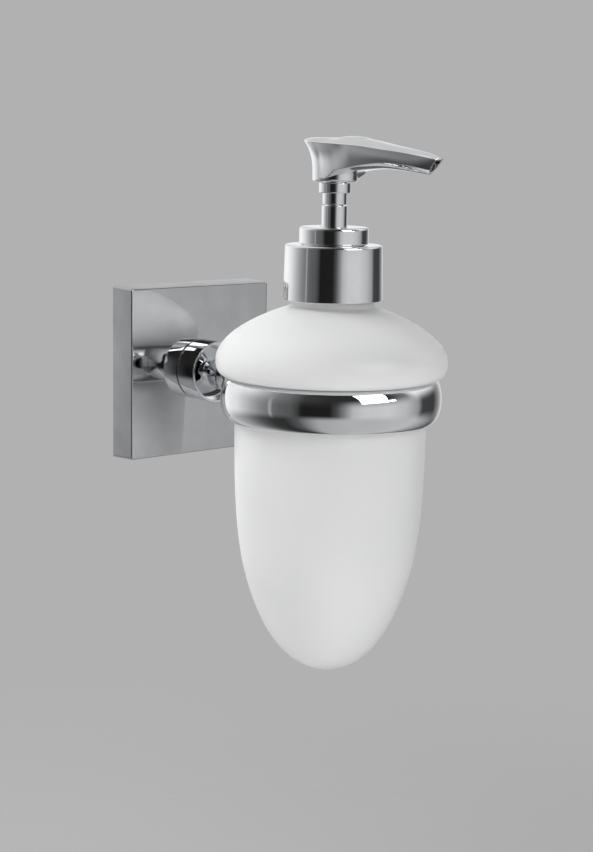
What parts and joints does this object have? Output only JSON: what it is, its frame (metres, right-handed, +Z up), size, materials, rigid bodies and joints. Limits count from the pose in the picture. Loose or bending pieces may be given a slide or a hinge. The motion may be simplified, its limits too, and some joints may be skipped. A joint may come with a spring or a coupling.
{
  "type": "wall mounted soap dispenser",
  "caption": "Wall mounted liquid soap dispenser: a chrome plate and ring carry a lift-out frosted glass bottle with a chrome hand pump.",
  "frame": {"origin": "on the wall plane, at the middle of the wall bracket's back face", "axes": "+Z up, +Y into the wall, so the bottle and spout stand out along -Y"},
  "size_m": [0.0768, 0.1512, 0.1789],
  "materials": {
    "chromed_brass": "mirror-bright chrome plating",
    "chromed_shell": "mirror-bright chrome plating on thin metal",
    "chromed_plastic": "mirror-bright chrome plating on moulded plastic",
    "frosted_glass": "acid-etched satin outside, clear inside",
    "steel": "zinc plated",
    "spring_steel": "bright drawn wire",
    "white_plastic": "moulded polypropylene",
    "clear_plastic": "natural polyethylene tube",
    "grey_plastic": "moulded nylon",
    "seal_rubber": "soft moulded"
  },
  "bodies": {
    "holder": {"wall_bracket": "steel", "cover_plate": "chromed_brass", "wall_screw_left": "steel", "wall_screw_right": "steel", "wall_plug_left": "grey_plastic", "wall_plug_right": "grey_plastic", "grub_screw": "steel", "post_washer": "steel", "post_bolt": "steel", "post": "chromed_brass", "ring_stud": "steel", "ring": "chromed_brass"},
    "bottle": {"glass_bottle": "frosted_glass"},
    "pump_body": {"pump_barrel": "white_plastic", "dip_tube": "clear_plastic", "neck_gasket": "seal_rubber", "spring_cage": "white_plastic", "return_spring": "spring_steel", "pump_collar": "chromed_plastic"},
    "closure": {"closure_shell": "chromed_shell", "closure_liner": "white_plastic"},
    "inlet_ball": {"valve_ball": "steel"},
    "piston": {"stem": "chromed_shell", "piston_seal": "seal_rubber"},
    "head": {"pump_head": "chromed_plastic", "head_sleeve": "chromed_plastic", "head_ferrule": "chromed_plastic", "nozzle_tube": "grey_plastic"}
  },
  "joints": [
    {"name": "bottle_lift", "type": "slide", "parent": "holder", "child": "bottle", "axis": [0, 0, 1], "range_m": [0, 0.105]},
    {"name": "thread_rise", "type": "slide", "parent": "bottle", "child": "pump_body", "axis": [0, 0, 1], "range_m": [0, 0.0064]},
    {"name": "closure_turn", "type": "hinge", "parent": "pump_body", "child": "closure", "pos_m": [0, -0.083, 0.04], "axis": [0, 0, 1], "range_deg": [0, 540]},
    {"name": "ball_lift", "type": "slide", "parent": "pump_body", "child": "inlet_ball", "axis": [0, 0, 1], "range_m": [0, 0.0012]},
    {"name": "pump_press", "type": "slide", "parent": "pump_body", "child": "piston", "axis": [0, 0, -1], "range_m": [0, 0.0105], "stiffness_N_per_m": 300, "springref_m": -0.01, "deforming": ["return_spring"]},
    {"name": "head_swivel", "type": "hinge", "parent": "piston", "child": "head", "pos_m": [0, -0.083, 0.066], "axis": [0, 0, 1], "continuous": true}
  ],
  "couplings": [
    {"joint": "thread_rise", "follows": "closure_turn", "m_per_rad": 0.00066845}
  ]
}
